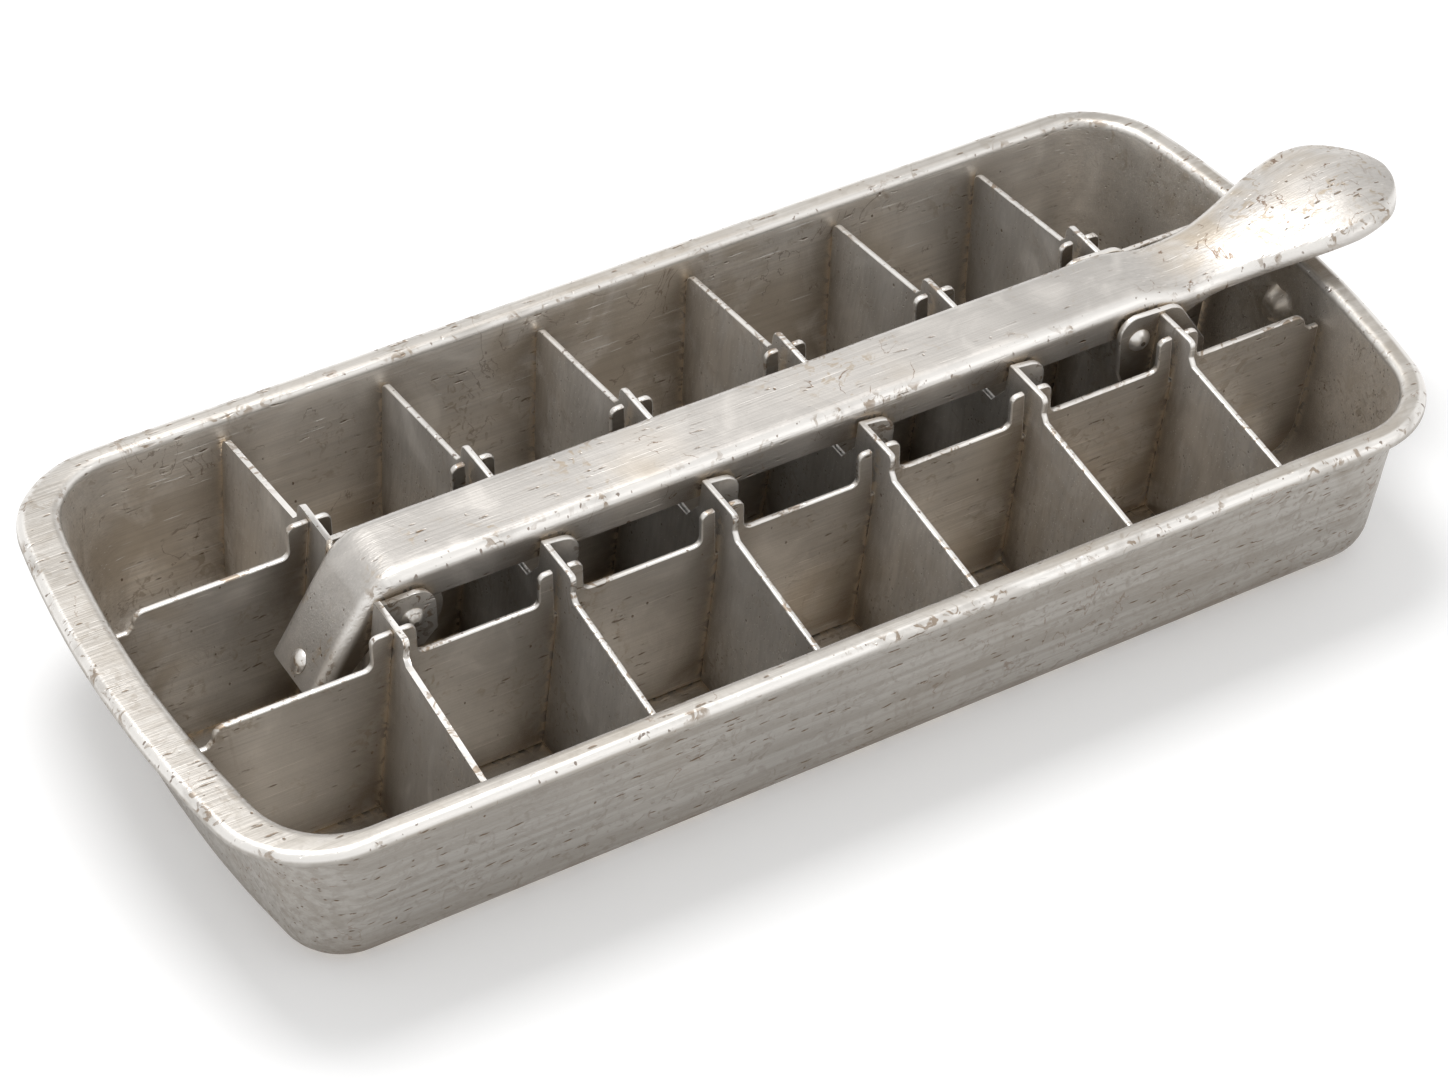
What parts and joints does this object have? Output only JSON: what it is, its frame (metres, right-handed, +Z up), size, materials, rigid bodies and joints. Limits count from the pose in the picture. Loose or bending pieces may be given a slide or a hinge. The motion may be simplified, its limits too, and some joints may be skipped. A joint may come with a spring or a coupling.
{
  "type": "lever ice cube tray",
  "caption": "Shallow metal freezer tray with a lift-out divider grid and a long spoon-grip lever that tilts the cross dividers upright to free the ice.",
  "frame": {"origin": "centre of the pan's flat underside, on the plane the tray stands on", "axes": "+X along the tray from the lever's pivot end to its grip, +Y across it towards the back, +Z up"},
  "size_m": [0.29, 0.125, 0.0543],
  "materials": {
    "pan": "worn satin with fine brushed lines and light stains",
    "divider": "brushed, scratched and lightly stained",
    "lever": "satin, worn bright along its edges",
    "hardware": "dull, stained round the heads"
  },
  "bodies": {
    "pan": {"pan": "pan"},
    "grid": {"lengthwise_divider_front": "divider", "lengthwise_divider_rear": "divider", "cross_divider_1": "divider", "pivot_rivets": "hardware"},
    "lever": {"lever": "lever", "drive_pin": "hardware", "heel_rivet": "hardware"},
    "bar": {"slide_bar": "divider"},
    "cross_2": {"cross_divider_2": "divider"},
    "cross_3": {"cross_divider_3": "divider"},
    "cross_4": {"cross_divider_4": "divider"},
    "cross_5": {"cross_divider_5": "divider"},
    "cross_6": {"cross_divider_6": "divider", "latch_cheek_front": "divider", "latch_cheek_rear": "divider", "latch_studs": "hardware"}
  },
  "joints": [
    {"name": "grid_lift", "type": "slide", "parent": "pan", "child": "grid", "axis": [0, 0, 1], "range_m": [0, 0.06]},
    {"name": "lever_lift", "type": "hinge", "parent": "grid", "child": "lever", "pos_m": [-0.0757, 0, 0.0385], "axis": [0, -1, 0], "range_deg": [0, 25]},
    {"name": "bar_slide", "type": "slide", "parent": "grid", "child": "bar", "axis": [1, 0, 0], "range_m": [0, 0.00275]},
    {"name": "cross_2_tilt", "type": "hinge", "parent": "grid", "child": "cross_2", "pos_m": [-0.0487, 0, 0.0334], "axis": [0, -1, 0], "range_deg": [0, 7.3]},
    {"name": "cross_3_tilt", "type": "hinge", "parent": "grid", "child": "cross_3", "pos_m": [-0.0137, 0, 0.0334], "axis": [0, -1, 0], "range_deg": [0, 7.3]},
    {"name": "cross_4_tilt", "type": "hinge", "parent": "grid", "child": "cross_4", "pos_m": [0.0213, 0, 0.0334], "axis": [0, -1, 0], "range_deg": [0, 7.3]},
    {"name": "cross_5_tilt", "type": "hinge", "parent": "grid", "child": "cross_5", "pos_m": [0.0563, 0, 0.0334], "axis": [0, -1, 0], "range_deg": [0, 7.3]},
    {"name": "cross_6_tilt", "type": "hinge", "parent": "grid", "child": "cross_6", "pos_m": [0.0913, 0, 0.0334], "axis": [0, -1, 0], "range_deg": [0, 7.3]}
  ],
  "couplings": [
    {"joint": "bar_slide", "follows": "lever_lift", "m_per_rad": 0.00629},
    {"joint": "cross_2_tilt", "follows": "lever_lift", "ratio": 0.292},
    {"joint": "cross_3_tilt", "follows": "lever_lift", "ratio": 0.292},
    {"joint": "cross_4_tilt", "follows": "lever_lift", "ratio": 0.292},
    {"joint": "cross_5_tilt", "follows": "lever_lift", "ratio": 0.292},
    {"joint": "cross_6_tilt", "follows": "lever_lift", "ratio": 0.292}
  ]
}
